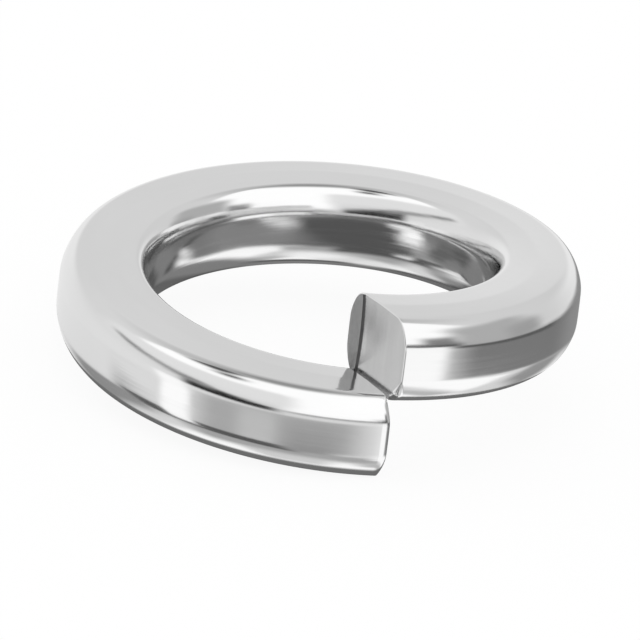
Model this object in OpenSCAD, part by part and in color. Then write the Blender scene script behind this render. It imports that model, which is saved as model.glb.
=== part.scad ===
// Spring lock washer, heavy square-section kind, for an M16 screw.
// One bar of rolled spring steel wound left-handed into a single open turn and sheared off at a skew.
// Millimetres. The bore axis is Z, the origin is on it at mid-height, and the gap faces -Y.

/* [Ring] */
// Diameter of the hole, with room for the screw
bore_d = 16.2; // [12:0.1:30]
// Width of the bar, from the hole to the outside
bar_w = 4.3; // [3:0.1:8]
// Thickness of the bar, along the axis
bar_t = 4.3; // [3.5:0.1:8]
// Rise of the coil over one turn
coil_rise = 3.9; // [0.5:0.1:8]

/* [Rounded edges] */
// How far an outer rounded edge reaches in over the flat
outer_run = 0.95; // [0.5:0.05:1.6]
// How far an outer rounded edge reaches along the outside wall
outer_drop = 1.25; // [0.5:0.05:1.4]
// How far an inner rounded edge reaches out over the flat
inner_run = 0.8; // [0.5:0.05:1.2]
// How far an inner rounded edge reaches along the wall of the hole
inner_drop = 1.3; // [0.5:0.05:1.4]
// Degrees that a rounded edge turns before it meets a wall, where less leaves a plainer crease
edge_turn = 65; // [60:1:75]

/* [Cut] */
// Width of the gap between the two sheared ends
gap_w = 0.4; // [0.1:0.05:3]
// Slant of the cut, in degrees from a line through the middle
cut_skew = 20; // [0:1:30]
// Share of the gap that is filled by the strip that tore along the hole's side of the upper end
torn_share = 0.5; // [0.1:0.1:0.9]

/* [Smoothness] */
// Straight steps in the turn
turn_steps = 96; // [48:8:120]
// Straight steps in each rounded edge
edge_steps = 7; // [4:1:8]

/* [Hidden] */

// Radii of the hole and the outside, and the middle of the bar between them
bore_r = bore_d / 2;
outer_r = bore_r + bar_w;
middle_r = (bore_r + outer_r) / 2;

// The gap's middle crosses the middle of the bar at this angle
gap_angle = -90;

// The rounded edges run this many degrees past the walls, which are then cut true
past_wall = 7;

// The flat's inner edge, where the torn strip begins
torn_r = bore_r + inner_run;

// Height that the cylinders need to take in the whole coil
reach_z = coil_rise + bar_t;

// Distance along the cut's normal from the axis to the middle of the gap
cut_offset = -middle_r * sin(cut_skew);

// Points of one rounded edge from the flat to past the wall.
// The flat ends at flat_r, side is 1 outside and -1 at the hole, and up is 1 on top and -1 below.
function rounded_edge(flat_r, run, drop, side, up) =
    let (half_w = run / sin(edge_turn), half_h = drop / (1 - cos(edge_turn)))
    [for (i = [0 : edge_steps])
        let (a = i / edge_steps * (edge_turn + past_wall))
        [flat_r + side * half_w * sin(a), up * (bar_t / 2 - half_h * (1 - cos(a)))]];

function reversed(list) = let (all = [each list]) [for (i = [len(all) - 1 : -1 : 0]) all[i]];

// Outline of the bar as [radius, height]: down the outside, in along the bottom, up the hole, out along the top
outer_top = rounded_edge(outer_r - outer_run, outer_run, outer_drop, 1, 1);
outer_bottom = rounded_edge(outer_r - outer_run, outer_run, outer_drop, 1, -1);
inner_bottom = rounded_edge(torn_r, inner_run, inner_drop, -1, -1);
inner_top = rounded_edge(torn_r, inner_run, inner_drop, -1, 1);
section = concat(outer_top, reversed(outer_bottom), inner_bottom, reversed(inner_top));
section_n = len(section);

// First and last of the outline's points that lie at the torn strip
torn_first = 2 * (edge_steps + 1);
torn_last = section_n - 1;

// Angle at which a line of radius r, wound about the axis, meets a plane whose normal lies at angle n
// and that passes at distance d from the axis, on the gap's side
function meets_plane(r, n, d) = n - acos(d / r);

// The lower end is one flat cut
function lower_end(r) = meets_plane(r, cut_skew, cut_offset - gap_w / 2);

// The upper end is a flat cut, but along the hole's side the steel broke ahead of the blade,
// and a strip of it stands proud of the cut
torn_proud = torn_share * gap_w;
function upper_end(r, proud) = meets_plane(r, cut_skew, cut_offset + gap_w / 2 - proud) - 360;

// A point of the coil at an angle: going clockwise from the lower end, it climbs
function coil_point(point, angle) =
    let (climb = coil_rise * ((gap_angle - angle) / 360 - 0.5))
    [point[0] * cos(angle), point[0] * sin(angle), point[1] + climb];

// A point of the outline after some of the steps from the lower end's cut to the upper one's
function wound_point(point, step) =
    let (from = lower_end(point[0]), to = upper_end(point[0], 0))
    coil_point(point, from + (to - from) * step / turn_steps);

// Two triangles between neighbours a and b of one outline and their followers c and d on the next
function two_triangles(a, b, c, d) = [[a, c, b], [b, c, d]];

// The bar wound along the coil, with rounded edges and flats but walls still too thick
module wound_bar() {
    bar_points = [for (step = [0 : turn_steps]) for (point = section) wound_point(point, step)];
    torn_points = [
        for (i = [torn_first : torn_last])
            coil_point(section[i], upper_end(section[i][0], torn_proud))
    ];
    bar_sides = [
        for (step = [0 : turn_steps - 1])
            for (i = [0 : section_n - 1])
                let (a = step * section_n + i, b = step * section_n + (i + 1) % section_n)
                each two_triangles(a, b, a + section_n, b + section_n)
    ];
    lower_face = [for (i = [0 : section_n - 1]) i];
    last = turn_steps * section_n;
    cut_face = [for (i = concat([torn_last, torn_first], reversed([0 : torn_first - 1]))) last + i];
    torn_n = len(torn_points);
    torn_foot = last + torn_first;
    torn_rim = last + section_n;
    torn_sides = [
        for (i = [0 : torn_n - 1])
            let (next = (i + 1) % torn_n)
            each two_triangles(torn_foot + i, torn_foot + next, torn_rim + i, torn_rim + next)
    ];
    torn_face = [for (i = reversed([0 : torn_n - 1])) torn_rim + i];
    polyhedron(
        points = concat(bar_points, torn_points),
        faces = concat(bar_sides, torn_sides, [lower_face, cut_face, torn_face]),
        convexity = 6
    );
}

// The tube that the bar lies in, which gives the hole and the outside their true round walls
module true_walls() {
    difference() {
        cylinder(h = 2 * reach_z, r = outer_r, center = true, $fn = 180);
        cylinder(h = 3 * reach_z, r = bore_r, center = true, $fn = 180);
    }
}

module lock_washer() {
    color("#c4c6c9")
    intersection() {
        true_walls();
        wound_bar();
    }
}

lock_washer();
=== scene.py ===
"""Looks of a heavy spring lock washer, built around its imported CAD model.

Lengths are in millimetres until a mesh is made. Angles are in degrees, from +X about the hole's axis.
"""
import bpy
import numpy as np
from mathutils import Matrix, Vector


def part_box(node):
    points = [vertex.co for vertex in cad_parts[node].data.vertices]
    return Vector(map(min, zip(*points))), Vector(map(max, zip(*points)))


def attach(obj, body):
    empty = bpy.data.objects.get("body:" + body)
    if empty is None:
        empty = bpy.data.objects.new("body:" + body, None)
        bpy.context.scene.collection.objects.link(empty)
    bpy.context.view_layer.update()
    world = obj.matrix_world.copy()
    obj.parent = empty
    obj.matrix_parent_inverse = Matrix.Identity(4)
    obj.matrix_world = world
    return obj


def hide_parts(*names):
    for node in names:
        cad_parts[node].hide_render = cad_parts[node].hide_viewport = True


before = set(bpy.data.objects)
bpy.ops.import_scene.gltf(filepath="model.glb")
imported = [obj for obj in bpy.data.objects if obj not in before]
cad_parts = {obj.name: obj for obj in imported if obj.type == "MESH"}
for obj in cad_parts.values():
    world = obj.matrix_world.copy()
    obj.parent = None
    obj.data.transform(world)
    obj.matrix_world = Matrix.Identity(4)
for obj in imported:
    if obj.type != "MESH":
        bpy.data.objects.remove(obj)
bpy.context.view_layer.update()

# The washer: one bar of spring steel, rolled to a square section with rounded edges, wound left-handed
# into a single open turn, sheared off at a skew, hardened, and tumbled in a barrel until it shines.
# It is a single piece, so it stands for the CAD solid, with the same sizes and finer edges.
MM = 0.001
OUTER_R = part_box("lock_washer")[1].x / MM
BORE_R = 8.1
BAR_T = 4.3
COIL_RISE = 3.9

# How far a rounded edge reaches over the flat and along the wall, and how far it turns towards the wall
OUTER_RUN = 0.95
OUTER_DROP = 1.25
INNER_RUN = 0.8
INNER_DROP = 1.3
EDGE_TURN = 65

# The gap between the sheared ends, and the slant of the cut from a line through the middle
GAP_W = 0.4
GAP_ANGLE = -90
CUT_SKEW = 20
CUT_OFFSET = -(BORE_R + OUTER_R) / 2 * np.sin(np.radians(CUT_SKEW))

# Radii of the flat's two edges
FLAT_IN_R = BORE_R + INNER_RUN
FLAT_OUT_R = OUTER_R - OUTER_RUN

# Rolling left the flats and the walls a little crowned
FLAT_CROWN = 0.02
WALL_CROWN = 0.01

# Half length of the soft bend where a rounded edge meets a wall
CREASE_REACH = 0.17

# Steps of the mesh: in a rounded edge, a crease, a flat, a wall and the whole turn
EDGE_STEPS = 18
CREASE_STEPS = 5
FLAT_STEPS = 20
WALL_STEPS = 20
TURN_STEPS = 400

# Rounding of the sheared ends' rims. The blade rolled the outer rim of the lower end over, by so much
# along the bar and so much inwards, and the lower outer corner of the upper end.
RIM_ROUND = 0.06
LOWER_ROLL_ALONG = 0.42
LOWER_ROLL_IN = 0.14
UPPER_ROLL = 0.28
RIM_STEPS = 6

# Length of the first short step of the skin past a rim
SKIN_START = RIM_ROUND / 3

# Along the hole's side, a strip of the upper end tore off ahead of the blade and stands proud of the
# cut, behind a steep bowed step
TORN_PROUD = 0.1
TORN_BOW = 0.15
TORN_STEP_RUN = 0.05

# The lower end reaches into the gap more along the hole's side than along the outside
LOWER_PROUD_IN = 0.2
LOWER_PROUD_OUT = 0.18
LOWER_PROUD_FROM_R = 9.7


def smooth_step(low, high, value):
    """0 below low, 1 above high, and an even curve between them."""
    part = np.clip((value - low) / (high - low), 0, 1)
    return part * part * (3 - 2 * part)


def edge_and_crease(flat_r, run, drop, side):
    """Radius and height from the flat, round the edge and down to the wall, on the bar's upper half."""
    # The edge is part of an ellipse, and stops where the crease begins
    half_w = (run - WALL_CROWN) / np.sin(np.radians(EDGE_TURN))
    half_h = drop / (1 - np.cos(np.radians(EDGE_TURN)))
    end = np.radians(EDGE_TURN)
    last = end - CREASE_REACH / np.hypot(half_w * np.cos(end), half_h * np.sin(end))
    turn = np.linspace(0, last, EDGE_STEPS + 1)
    radius = flat_r + side * half_w * np.sin(turn)
    height = BAR_T / 2 - half_h * (1 - np.cos(turn))
    # The crease bends evenly from the edge's last point to the wall, about the corner where they would meet
    start = np.array([radius[-1], height[-1]])
    falling = np.array([side * half_w * np.cos(last), -half_h * np.sin(last)])
    wall_h = BAR_T / 2 - drop
    stop_r = flat_r + side * (run - WALL_CROWN * (1 - CREASE_REACH / wall_h) ** 2)
    stop = np.array([stop_r, wall_h - CREASE_REACH])
    wall_fall = np.array([side * 2 * WALL_CROWN * stop[1] / wall_h**2, -1])
    reach, _ = np.linalg.solve(np.column_stack([falling, wall_fall]), stop - start)
    corner = start + falling * reach
    t = np.linspace(0, 1, CREASE_STEPS + 1)[1:, None]
    crease = start * (1 - t) ** 2 + corner * 2 * t * (1 - t) + stop * t**2
    return np.vstack([np.column_stack([radius, height]), crease])


def bar_top():
    """The section's upper side, from the wall of the hole to the outside wall."""
    inner = edge_and_crease(FLAT_IN_R, INNER_RUN, INNER_DROP, -1)[::-1]
    outer = edge_and_crease(FLAT_OUT_R, OUTER_RUN, OUTER_DROP, 1)
    flat_r = np.linspace(FLAT_IN_R, FLAT_OUT_R, FLAT_STEPS + 1)[1:-1]
    flat = np.column_stack([flat_r, np.full(len(flat_r), BAR_T / 2)])
    side = np.vstack([inner, flat, outer])
    off_middle = (side[:, 0] - (FLAT_IN_R + FLAT_OUT_R) / 2) / ((FLAT_OUT_R - FLAT_IN_R) / 2)
    side[:, 1] -= FLAT_CROWN * np.minimum(off_middle**2, 2 * np.abs(off_middle) - 1)
    return side


def bar_outline(top):
    """The whole section: out along the top, down the outside, in along the bottom and up the hole."""
    fall = np.linspace(1, -1, WALL_STEPS + 1)[1:-1]
    outer_wall = np.column_stack([OUTER_R - (OUTER_R - top[-1, 0]) * fall**2, fall * top[-1, 1]])
    inner_wall = np.column_stack([BORE_R + (top[0, 0] - BORE_R) * fall**2, -fall * top[0, 1]])
    return np.vstack([top, outer_wall, top[::-1] * (1, -1), inner_wall])


def outward(outline):
    """Unit vectors that point out of the section."""
    along = np.roll(outline, -1, axis=0) - np.roll(outline, 1, axis=0)
    across = np.column_stack([-along[:, 1], along[:, 0]])
    return across / np.linalg.norm(across, axis=1, keepdims=True)


def lower_cut(radius, depth):
    """Angle at which a radius meets a plane that lies a depth inside the lower end."""
    return CUT_SKEW - np.degrees(np.arccos((CUT_OFFSET - GAP_W / 2 - depth) / radius))


def upper_cut(radius, depth):
    """The same for the upper end, one turn clockwise from the lower end."""
    return CUT_SKEW - np.degrees(np.arccos((CUT_OFFSET + GAP_W / 2 + depth) / radius)) - 360


def lower_depth(radius, height):
    """How deep the lower end's face lies at any height, below zero because it stands proud of the cut."""
    share = smooth_step(LOWER_PROUD_FROM_R, FLAT_OUT_R, radius)
    return -LOWER_PROUD_IN + (LOWER_PROUD_IN - LOWER_PROUD_OUT) * share


def bow_share(height):
    """How much of its bow the torn strip's step has at a height: 1 at mid-height and 0 at the flats."""
    return np.clip(1 - (height / (BAR_T / 2)) ** 2, 0, 1)


def upper_depth(radius, height):
    """How deep the upper end's face lies, below zero on the torn strip."""
    step_r = FLAT_IN_R + TORN_BOW * bow_share(height)
    return -TORN_PROUD * smooth_step(0, TORN_STEP_RUN, step_r - radius)


def coil_points(radius, height, angle):
    """Points in space for places in the section. Going clockwise, the coil climbs."""
    climb = COIL_RISE * ((GAP_ANGLE - angle) / 360 - 0.5)
    turn = np.radians(angle)
    return np.column_stack([radius * np.cos(turn), radius * np.sin(turn), height + climb])


top = bar_top()
outline = bar_outline(top)
normals = outward(outline)
around_n = len(outline)
columns = len(top)

# How fully each part of the outline is rolled over: where it faces out, and where it faces out and down
facing_out = np.clip(normals[:, 0], 0, 1)
facing_out_and_down = -2 * facing_out * normals[:, 1]
lower_rolled = smooth_step(0.5, 0.9, facing_out)
upper_rolled = smooth_step(0.3, 0.9, facing_out_and_down)
lower_rim_along = RIM_ROUND + (LOWER_ROLL_ALONG - RIM_ROUND) * lower_rolled
lower_rim_in = RIM_ROUND + (LOWER_ROLL_IN - RIM_ROUND) * lower_rolled
upper_rim = RIM_ROUND + (UPPER_ROLL - RIM_ROUND) * upper_rolled


def rim_ring(cut, recess_at, along, inwards, share):
    """One ring of an end's rim. Share 0 lies on the sheared face and share 1 on the bar's skin."""
    turn = share * np.pi / 2
    inset = outline - normals * (inwards * (1 - np.sin(turn)))[:, None]
    radius, height = inset.T
    return radius, height, cut(radius, recess_at(radius, height) + along * (1 - np.cos(turn)))


# Rings of points: the lower end's rim, the skin from the lower end up to the upper one, and its rim
shares = np.linspace(0, 1, RIM_STEPS + 1)
rings = [rim_ring(lower_cut, lower_depth, lower_rim_along, lower_rim_in, share) for share in shares]
first_angle = lower_cut(outline[:, 0], lower_depth(*outline.T) + lower_rim_along + SKIN_START)
last_angle = upper_cut(outline[:, 0], upper_depth(*outline.T) + upper_rim + SKIN_START)
for step in range(TURN_STEPS + 1):
    angle = first_angle + (last_angle - first_angle) * step / TURN_STEPS
    rings.append((outline[:, 0], outline[:, 1], angle))
rings += [rim_ring(upper_cut, upper_depth, upper_rim, upper_rim, share) for share in shares[::-1]]


def end_face(ring, cut, recess_at, bow, first_vertex, ring_start, facing):
    """The flat of a sheared end: inner points in columns that stand on the ring, and the quads over them."""
    radius, height, _ = ring
    column_top = np.arange(columns)
    column_foot = 2 * columns + WALL_STEPS - 2 - column_top
    rise = np.linspace(0, 1, WALL_STEPS + 1)[1:-1]
    inner_columns = column_top[1:-1]
    inner_foot = column_foot[1:-1]
    r = radius[inner_foot, None] + (radius[inner_columns] - radius[inner_foot])[:, None] * rise
    h = height[inner_foot, None] + (height[inner_columns] - height[inner_foot])[:, None] * rise
    inner_share = np.clip((r - BORE_R) / INNER_RUN, 0, 1)
    outer_share = np.clip((FLAT_OUT_R - r) / (FLAT_OUT_R - FLAT_IN_R), 0, 1)
    r = r + bow * bow_share(h) * inner_share * outer_share
    r = r.ravel()
    h = h.ravel()
    grid = np.zeros((columns, WALL_STEPS + 1), int)
    grid[:, -1] = ring_start + column_top
    grid[:, 0] = ring_start + column_foot
    grid[1:-1, 1:-1] = first_vertex + np.arange(len(r)).reshape(columns - 2, WALL_STEPS - 1)
    grid[-1, 1:-1] = ring_start + columns + np.arange(WALL_STEPS - 1)[::-1]
    grid[0, 1:-1] = ring_start + 2 * columns + WALL_STEPS - 1 + np.arange(WALL_STEPS - 1)
    corners = [grid[:-1, :-1], grid[1:, :-1], grid[1:, 1:], grid[:-1, 1:]]
    quads = np.stack([c.ravel() for c in corners[::facing]], axis=1)
    return (r, h, cut(r, recess_at(r, h))), quads


ring_n = len(rings)
steps = np.arange(ring_n - 1)[:, None] * around_n
here = np.arange(around_n)[None, :]
after = (np.arange(around_n) + 1)[None, :] % around_n
skin = np.stack([steps + here, steps + around_n + here, steps + around_n + after, steps + after], axis=-1)
skin = skin.reshape(-1, 4)
skin_n = ring_n * around_n
lower_inner, lower_quads = end_face(rings[0], lower_cut, lower_depth, 0, skin_n, 0, -1)
upper_first = skin_n + len(lower_inner[0])
upper_inner, upper_quads = end_face(
    rings[-1], upper_cut, upper_depth, TORN_BOW, upper_first, skin_n - around_n, 1)
point_sets = rings + [lower_inner, upper_inner]
radii = np.concatenate([points[0] for points in point_sets])
heights = np.concatenate([points[1] for points in point_sets])
angles = np.concatenate([points[2] for points in point_sets])

places = coil_points(radii, heights, angles)
faces = np.vstack([skin, lower_quads, upper_quads])
mesh = bpy.data.meshes.new("spring_washer")
mesh.from_pydata((places * MM).tolist(), [], faces.tolist())
sheared = np.arange(len(faces)) >= len(skin)
mesh.polygons.foreach_set("use_smooth", ~sheared)
washer = bpy.data.objects.new("spring_washer", mesh)
bpy.context.scene.collection.objects.link(washer)

# Places for the patterns in the finishes: radius, height in the section and run along the bar, in mm
run_along = np.radians(GAP_ANGLE - angles) * (BORE_R + OUTER_R) / 2
bar_place = mesh.attributes.new("bar_place", "FLOAT_VECTOR", "POINT")
bar_place.data.foreach_set("vector", np.column_stack([radii, heights, run_along]).ravel())

# Where tumbling wore the skin: along the creases
WEAR_REACH = 0.22
crease_h = np.where(radii > FLAT_OUT_R, BAR_T / 2 - OUTER_DROP, BAR_T / 2 - INNER_DROP)
off_crease = np.abs(np.abs(heights) - crease_h)
off_wall = np.minimum(np.abs(radii - OUTER_R), np.abs(radii - BORE_R))
worn = np.exp(-(np.hypot(off_crease, off_wall) / WEAR_REACH) ** 2)
wear = mesh.attributes.new("wear", "FLOAT", "POINT")
wear.data.foreach_set("value", worn)


def linear(hex_colour):
    """An sRGB colour such as "#dcdde0" as the linear RGBA that the shaders take."""
    channels = [int(hex_colour[i : i + 2], 16) / 255 for i in (1, 3, 5)]
    return (*[c / 12.92 if c <= 0.04045 else ((c + 0.055) / 1.055) ** 2.4 for c in channels], 1)


def add_node(tree, kind, settings=None, **inputs):
    """Adds a node. Settings are its own options, and each input is a value or another node's output.

    An input goes by its name, or by its number after an underscore where the node has several of a name.
    """
    node = tree.nodes.new("ShaderNode" + kind)
    for name, value in (settings or {}).items():
        setattr(node, name, value)
    for name, value in inputs.items():
        socket = node.inputs[int(name[1:])] if name[1:].isdigit() else node.inputs[name.replace("_", " ")]
        if isinstance(value, bpy.types.NodeSocket):
            tree.links.new(value, socket)
        else:
            socket.default_value = value
    return node


def new_material(name):
    """An empty material and its node tree."""
    material = bpy.data.materials.new(name)
    material.use_nodes = True
    material.node_tree.nodes.clear()
    return material, material.node_tree


def bar_noise(tree, across, up, along, detail):
    """Noise whose unit is so many mm across the section, up it and along the bar."""
    place = add_node(tree, "Attribute", {"attribute_name": "bar_place"}).outputs["Vector"]
    scale = (1 / across, 1 / up, 1 / along)
    stretched = add_node(tree, "VectorMath", {"operation": "MULTIPLY"}, _0=place, _1=scale).outputs[0]
    return add_node(tree, "TexNoise", Vector=stretched, Scale=1.0, Detail=detail).outputs[0]


# Near its rim a steel mirror reflects a little less than a plain metal would
STEEL_EDGE = linear("#f2f2f2")

# Depth of the fine lines, and of the dings, bands and grain
LINE_DEEP = 0.05
MARK_DEEP = 0.1


def barrel_polished_steel():
    """Hardened spring steel, bright from the barrel: a near mirror that blurs a little, with faint lines."""
    material, tree = new_material("barrel_polished_steel")
    rolled_lines = bar_noise(tree, 0.16, 0.16, 9, 1.5)
    dings = bar_noise(tree, 0.9, 0.9, 1.3, 2.0)
    haze = bar_noise(tree, 2.2, 2.2, 7, 4.0)
    wear = add_node(tree, "Attribute", {"attribute_name": "wear"}).outputs["Fac"]
    rough = add_node(
        tree, "MapRange", Value=rolled_lines, From_Min=0.3, From_Max=0.7, To_Min=0.07, To_Max=0.15)
    rough_worn = add_node(
        tree, "Math", {"operation": "MULTIPLY_ADD"}, _0=wear, _1=0.03, _2=rough.outputs[0])
    lines = add_node(tree, "Bump", Strength=0.02, Distance=LINE_DEEP * MM, Height=rolled_lines)
    skin = add_node(
        tree, "Bump", Strength=0.03, Distance=MARK_DEEP * MM, Height=dings, Normal=lines.outputs[0])
    tones = add_node(
        tree, "Mix", {"data_type": "RGBA"}, Factor=haze, _6=linear("#e8e8e8"), _7=linear("#f0f0f0"))
    steel = add_node(
        tree, "BsdfPrincipled", Metallic=1.0, Base_Color=tones.outputs[2], Specular_Tint=STEEL_EDGE,
        Roughness=rough_worn.outputs[0], Normal=skin.outputs[0])
    add_node(tree, "OutputMaterial", Surface=steel.outputs[0])
    return material


def sheared_steel():
    """The face that the blade cut and burnished: nearly as bright, with faint upright bands where it slid."""
    material, tree = new_material("sheared_steel")
    bands = bar_noise(tree, 0.5, 9, 9, 3.0)
    bump = add_node(tree, "Bump", Strength=0.06, Distance=MARK_DEEP * MM, Height=bands)
    tones = add_node(
        tree, "Mix", {"data_type": "RGBA"}, Factor=bands, _6=linear("#dcdcdc"), _7=linear("#f0f0f0"))
    steel = add_node(
        tree, "BsdfPrincipled", Metallic=1.0, Base_Color=tones.outputs[2], Specular_Tint=STEEL_EDGE,
        Roughness=0.2, Normal=bump.outputs[0])
    add_node(tree, "OutputMaterial", Surface=steel.outputs[0])
    return material


def torn_steel(name, dark, pale, roughness):
    """Where the steel broke ahead of the blade: duller, and grainy."""
    material, tree = new_material(name)
    grain = bar_noise(tree, 0.14, 0.3, 0.14, 4.0)
    bump = add_node(tree, "Bump", Strength=0.15, Distance=MARK_DEEP * MM, Height=grain)
    tones = add_node(
        tree, "Mix", {"data_type": "RGBA"}, Factor=grain, _6=linear(dark), _7=linear(pale))
    steel = add_node(
        tree, "BsdfPrincipled", Metallic=1.0, Base_Color=tones.outputs[2], Specular_Tint=STEEL_EDGE,
        Roughness=roughness, Normal=bump.outputs[0])
    add_node(tree, "OutputMaterial", Surface=steel.outputs[0])
    return material


# The sheared faces take the second finish. On the upper end, the columns of the torn strip take the
# third, and the column of its step the fourth, which is painted dark as painted shade along the step.
strip_steel = torn_steel("torn_strip_steel", "#a6a6a6", "#bababa", 0.3)
# The step's dark tones are painted shade along the step, on a duller fracture
step_steel_painted_shade = torn_steel("torn_step_painted_shade", "#5a5a5a", "#6e6e6e", 0.5)
for finish in (barrel_polished_steel(), sheared_steel(), strip_steel, step_steel_painted_shade):
    mesh.materials.append(finish)
on_step = np.isclose(top[1:, 0], FLAT_IN_R)
on_strip = (top[1:, 0] < FLAT_IN_R) & ~on_step
finish_of = sheared.astype(int)
finish_of[-len(upper_quads):] += np.repeat(on_strip + 2 * on_step, WALL_STEPS)
mesh.polygons.foreach_set("material_index", finish_of)
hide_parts("lock_washer")
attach(washer, "root")

# The floor: a white matt board under the washer's lowest point, which keeps a faint shadow.
# The steel looks past it to the studio, apart from the shade and the spots of light near the washer.
FLOOR_SIZE = 3000
SHADOW_SHARE = 0.08

# The camera stands so many degrees clockwise from -Y, and the spots are placed as it sees them
CAMERA_AROUND = 16.07
floor_half = FLOOR_SIZE / 2 * MM
floor_z = places[:, 2].min() * MM
floor_corners = [(x * floor_half, y * floor_half, floor_z) for x, y in ((-1, -1), (1, -1), (1, 1), (-1, 1))]
floor_mesh = bpy.data.meshes.new("floor")
floor_mesh.from_pydata(floor_corners, [], [(0, 1, 2, 3)])
floor = bpy.data.objects.new("floor", floor_mesh)
bpy.context.scene.collection.objects.link(floor)
board, board_tree = new_material("white_matt_board")
board_ray = add_node(board_tree, "LightPath")
board_side = add_node(board_tree, "NewGeometry")
matt = add_node(board_tree, "BsdfDiffuse", Color=(1, 1, 1, 1))
white = add_node(board_tree, "Emission", Color=(1, 1, 1, 1), Strength=1.0)
lit = add_node(
    board_tree, "Math", {"operation": "MULTIPLY"},
    _0=board_ray.outputs["Is Camera Ray"], _1=1 - SHADOW_SHARE)
shown = add_node(board_tree, "MixShader", _0=lit.outputs[0], _1=matt.outputs[0], _2=white.outputs[0])
clear = add_node(board_tree, "BsdfTransparent")
in_mm = add_node(
    board_tree, "VectorMath", {"operation": "MULTIPLY"},
    _0=board_side.outputs["Position"], _1=(1 / MM, 1 / MM, 0))
turned_place = add_node(
    board_tree, "VectorRotate", {"rotation_type": "Z_AXIS"},
    Vector=in_mm.outputs[0], Angle=np.radians(CAMERA_AROUND))


def steel_tone(hex_colour):
    """Light that the polished steel shows as this tone."""
    return linear(hex_colour)[0] / linear("#ececec")[0]


def spot(under, middle, radius, soft, tone=None):
    """Lays a soft round spot over the floor that the steel sees. Without a tone it is clear.

    Its middle is so many mm to the right of the washer's axis and behind it, seen from the camera.
    """
    away = add_node(
        board_tree, "VectorMath", {"operation": "DISTANCE"}, _0=turned_place.outputs[0], _1=(*middle, 0))
    cover = add_node(
        board_tree, "MapRange", {"interpolation_type": "SMOOTHSTEP"}, Value=away.outputs["Value"],
        From_Min=radius - soft, From_Max=radius + soft, To_Min=1.0, To_Max=0.0)
    if tone:
        shade = add_node(board_tree, "Emission", Color=(1, 1, 1, 1), Strength=steel_tone(tone))
    else:
        shade = clear
    return add_node(
        board_tree, "MixShader", _0=cover.outputs[0], _1=under.outputs[0], _2=shade.outputs[0])


# Shade under the ring, paler at the back where the ring stands high, and darker at the back left
mirrored = spot(clear, (0, 0), 12.2, 0.12, "#6c6c6c")
mirrored = spot(mirrored, (-1.6, 10.6), 3.4, 1.6, "#7c7c7c")
mirrored = spot(mirrored, (-5.6, 8.6), 2, 1, "#585858")
# A dark line of painted contact shade round the hole, and the open floor inside it
mirrored = spot(mirrored, (0, 0), 8.5, 0.25, "#4e4e4e")
mirrored = spot(mirrored, (0, 0), 8, 0.25)
# Deep shade in the hole, weaker at the right and at the back left
mirrored = spot(mirrored, (-1.4, -1.6), 5.8, 1.3, "#525252")
mirrored = spot(mirrored, (4.2, 1.6), 3.6, 1.4, "#808080")
mirrored = spot(mirrored, (7.6, -0.3), 2, 0.8, "#707070")
mirrored = spot(mirrored, (-5.4, 5.3), 2, 1.1, "#626262")
mirrored = spot(mirrored, (-3.4, 7), 1.4, 0.6, "#7c7c7c")
# Light that falls in at the back
mirrored = spot(mirrored, (-0.1, 6.9), 0.8, 0.6, "#f0f0f0")
mirrored = spot(mirrored, (1.5, 7.5), 0.7, 0.6, "#e0e0e0")
# Light at the left, with a shade across it, and a pool of light at the right
mirrored = spot(mirrored, (-8.7, -2.4), 2.1, 0.8, "#f0f0f0")
mirrored = spot(mirrored, (-9, 0.3), 1, 0.6, "#f0f0f0")
mirrored = spot(mirrored, (-7.3, 3.3), 1.2, 0.8, "#7c7c7c")
mirrored = spot(mirrored, (-6.4, 1), 1.4, 0.9, "#fcfcfc")
mirrored = spot(mirrored, (3.7, -2.4), 1.2, 1.2, "#d4d4d4")
by_ray = add_node(
    board_tree, "MixShader",
    _0=board_ray.outputs["Is Glossy Ray"], _1=shown.outputs[0], _2=mirrored.outputs[0])
by_side = add_node(
    board_tree, "MixShader",
    _0=board_side.outputs["Backfacing"], _1=by_ray.outputs[0], _2=clear.outputs[0])
add_node(board_tree, "OutputMaterial", Surface=by_side.outputs[0])
floor_mesh.materials.append(board)

# The camera: a long lens from a little above, turned so that the gap shows at the right.
# It looks at the washer's middle from so far off, and is shifted so far to the right and up.
CAMERA_UP = 22.816
CAMERA_ROLL = 6.926
CAMERA_OFF = 606.64
CAMERA_RIGHT = 0.212
CAMERA_RISE = -1.066
CLIP_START = 10
SENSOR = 36
LENS = 715.3
lift = np.radians(CAMERA_UP)
back = Vector((0, -np.cos(lift), np.sin(lift)))
right = Vector((1, 0, 0))
up = Vector((0, np.sin(lift), np.cos(lift)))
roll = np.radians(CAMERA_ROLL)
image_right = right * np.cos(roll) + up * np.sin(roll)
image_up = up * np.cos(roll) - right * np.sin(roll)
pose = Matrix((image_right, image_up, back)).transposed().to_4x4()
pose.translation = (back * CAMERA_OFF + right * CAMERA_RIGHT + up * CAMERA_RISE) * MM
camera_data = bpy.data.cameras.new("camera")
camera_data.lens = LENS
camera_data.sensor_width = SENSOR
camera_data.clip_start = CLIP_START * MM
camera = bpy.data.objects.new("camera", camera_data)
bpy.context.scene.collection.objects.link(camera)
camera.matrix_world = Matrix.Rotation(np.radians(-CAMERA_AROUND), 4, "Z") @ pose
bpy.context.scene.camera = camera

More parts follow.
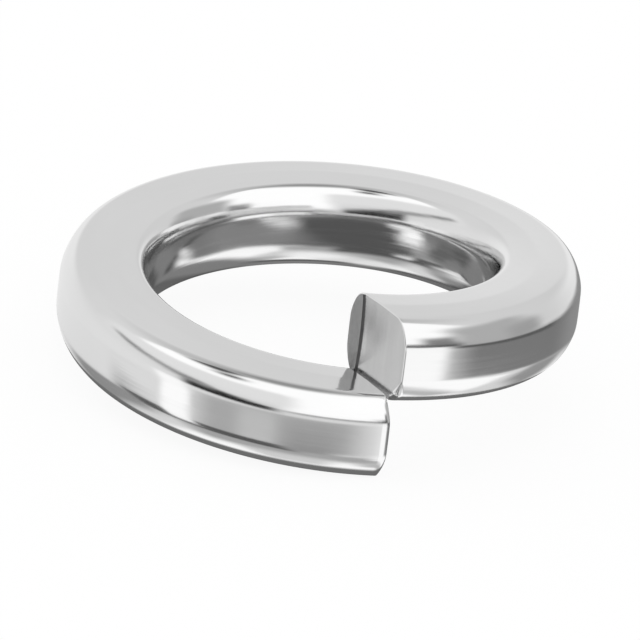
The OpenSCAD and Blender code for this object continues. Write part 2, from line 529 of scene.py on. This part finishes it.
# The studio: soft cards of light and shade that stand round the washer and show only in its reflections.
# A card's place is in degrees: around the washer, with the camera at -90, and up from the horizon.
# Its tone is the one that the steel then shows.
world = bpy.data.worlds.new("studio")
bpy.context.scene.world = world
world.use_nodes = True
world.cycles.sampling_method = "NONE"
studio_tree = world.node_tree
studio_tree.nodes.clear()
look = add_node(studio_tree, "TexCoord")
turned_look = add_node(
    studio_tree, "VectorRotate", {"rotation_type": "Z_AXIS"}, Vector=look.outputs["Generated"],
    Angle=np.radians(CAMERA_AROUND)).outputs[0]
look_z = add_node(studio_tree, "SeparateXYZ", Vector=turned_look)
look_up_rad = add_node(studio_tree, "Math", {"operation": "ARCSINE"}, _0=look_z.outputs[2])
look_up = add_node(studio_tree, "Math", {"operation": "DEGREES"}, _0=look_up_rad.outputs[0]).outputs[0]


def card(under, middle, half_size, soft, tone, slope=0.0):
    """Lays a soft card over what lies under it. Its upper edge rises by slope times the degrees around."""
    own_look = add_node(
        studio_tree, "VectorRotate", {"rotation_type": "Z_AXIS"},
        Vector=turned_look, Angle=np.radians(-middle[0]))
    across = add_node(studio_tree, "SeparateXYZ", Vector=own_look.outputs[0])
    swing_rad = add_node(
        studio_tree, "Math", {"operation": "ARCTAN2"}, _0=across.outputs[1], _1=across.outputs[0])
    swing = add_node(studio_tree, "Math", {"operation": "DEGREES"}, _0=swing_rad.outputs[0]).outputs[0]
    level = add_node(studio_tree, "Math", {"operation": "MULTIPLY_ADD"}, _0=swing, _1=-slope, _2=look_up)
    rise = add_node(studio_tree, "Math", {"operation": "SUBTRACT"}, _0=level.outputs[0], _1=middle[1])
    covers = []
    for offset, reach, blur in zip((swing, rise.outputs[0]), half_size, soft):
        distance = add_node(studio_tree, "Math", {"operation": "ABSOLUTE"}, _0=offset)
        part = add_node(
            studio_tree, "MapRange", {"interpolation_type": "SMOOTHSTEP"}, Value=distance.outputs[0],
            From_Min=reach - blur, From_Max=reach + blur, To_Min=1.0, To_Max=0.0)
        covers.append(part.outputs[0])
    cover = add_node(studio_tree, "Math", {"operation": "MULTIPLY"}, _0=covers[0], _1=covers[1])
    mix = add_node(
        studio_tree, "Mix", {"data_type": "FLOAT"},
        Factor=cover.outputs[0], _2=under, _3=steel_tone(tone))
    return mix.outputs[0]


studio = steel_tone("#d3d3d3")
# Dimmer overhead, behind the washer
studio = card(studio, (90, 80), (100, 20), (10, 20), "#b0b0b0")
# Glow of the white wall behind, down past the horizon, and weaker at the back right
studio = card(studio, (150, -8), (60, 18), (20, 12), "#dcdcdc")
studio = card(studio, (42, 20), (40, 30), (12, 12), "#cdcdcd")
studio = card(studio, (92, -6), (40, 20), (25, 10), "#ececec")
# The bright table close by, with grey shades on it in front and at the right
studio = card(studio, (0, -75), (181, 16), (1, 4), "#fafafa")
studio = card(studio, (-102, -70), (34, 9), (12, 4), "#cccccc")
studio = card(studio, (-100, -52), (60, 10), (12, 5), "#a2a2a2")
studio = card(studio, (-15, -63), (35, 5), (10, 3), "#b4b4b4")
# Big softbox over the camera, and a lower one at its right
studio = card(studio, (-94, 53), (86, 17), (6, 6), "#fefefe")
studio = card(studio, (-58, 22), (38, 20), (7, 5), "#fefefe")
# Spill of the big softbox on the left wall
studio = card(studio, (-143, 24), (50, 12), (8, 5), "#dedede")
# Grey screen at the right
studio = card(studio, (-2, 13), (22, 19), (8, 6), "#aaaaaa")
studio = card(studio, (14, 3), (10, 9), (5, 6), "#9c9c9c")
# The table in front: its far edge, grey cloth with a paler fold, and dark cloth from the left on
studio = card(studio, (-95, -11), (45, 5), (10, 4), "#dcdcdc")
studio = card(studio, (-101, -26), (37, 10), (9, 4), "#a6a6a6")
studio = card(studio, (-110, -28), (9, 8), (5, 5), "#bcbcbc")
studio = card(studio, (-140, -38.7), (45, 9.2), (8, 2.5), "#505050", -0.12)
studio = card(studio, (-86, -34), (12, 11), (8, 5), "#8e8e8e")
studio = card(studio, (150, -40), (32, 9), (10, 4), "#8c8c8c")
# Grey cloth at the right, darkest in the middle
studio = card(studio, (45, -19), (45, 8), (8, 3), "#8c8c8c")
studio = card(studio, (14, -19), (38, 8), (14, 3), "#767676")
studio = card(studio, (47, -36), (18, 9), (8, 4), "#929292")
# White sheets: one upright at the right and one at its foot, one behind, and a strip at the left
studio = card(studio, (-41, -20), (13, 22), (4, 5), "#f8f8f8")
studio = card(studio, (-18, -42.5), (35, 11.5), (5, 2.5), "#fafafa", -0.08)
studio = card(studio, (90, -36), (14, 9), (6, 4), "#f2f2f2")
studio = card(studio, (-150, -20), (7.5, 20), (2.5, 5), "#fcfcfc")
# Black flag at the left of the camera, a grey one below the camera, and a thin grey one above at the left
studio = card(studio, (-122, 1.5), (21, 8), (4, 3), "#080808", -0.2)
studio = card(studio, (-76, 0), (20, 3.5), (8, 2.5), "#929292")
studio = card(studio, (-157, 13.6), (28, 2.7), (5, 2.5), "#8a8a8a", -0.17)
# Dark flag at the right of the camera, with a grey top, and the table's dark edge beyond it
studio = card(studio, (-32, 11), (8, 6), (4, 4), "#808080")
studio = card(studio, (-39.5, 2), (17.5, 5), (4, 3), "#4c4c4c")
studio = card(studio, (5, -10), (32, 4.5), (6, 3), "#545454", -0.1)
# Dimmer zenith, and the dark head of a lamp stand high at the left
studio = card(studio, (0, 90), (181, 13), (1, 8), "#909090")
studio = card(studio, (-156, 67), (20, 8), (12, 6), "#505050")
studio = card(studio, (-130, 54), (9, 5), (8, 5), "#5c5c5c")
studio_ray = add_node(studio_tree, "LightPath")
seen = add_node(
    studio_tree, "Mix", {"data_type": "FLOAT"},
    Factor=studio_ray.outputs["Is Glossy Ray"], _2=1.0, _3=studio)
light = add_node(studio_tree, "Background", Color=(1, 1, 1, 1), Strength=seen.outputs[0])
add_node(studio_tree, "OutputWorld", Surface=light.outputs[0])
bpy.context.scene.view_settings.view_transform = "Standard"
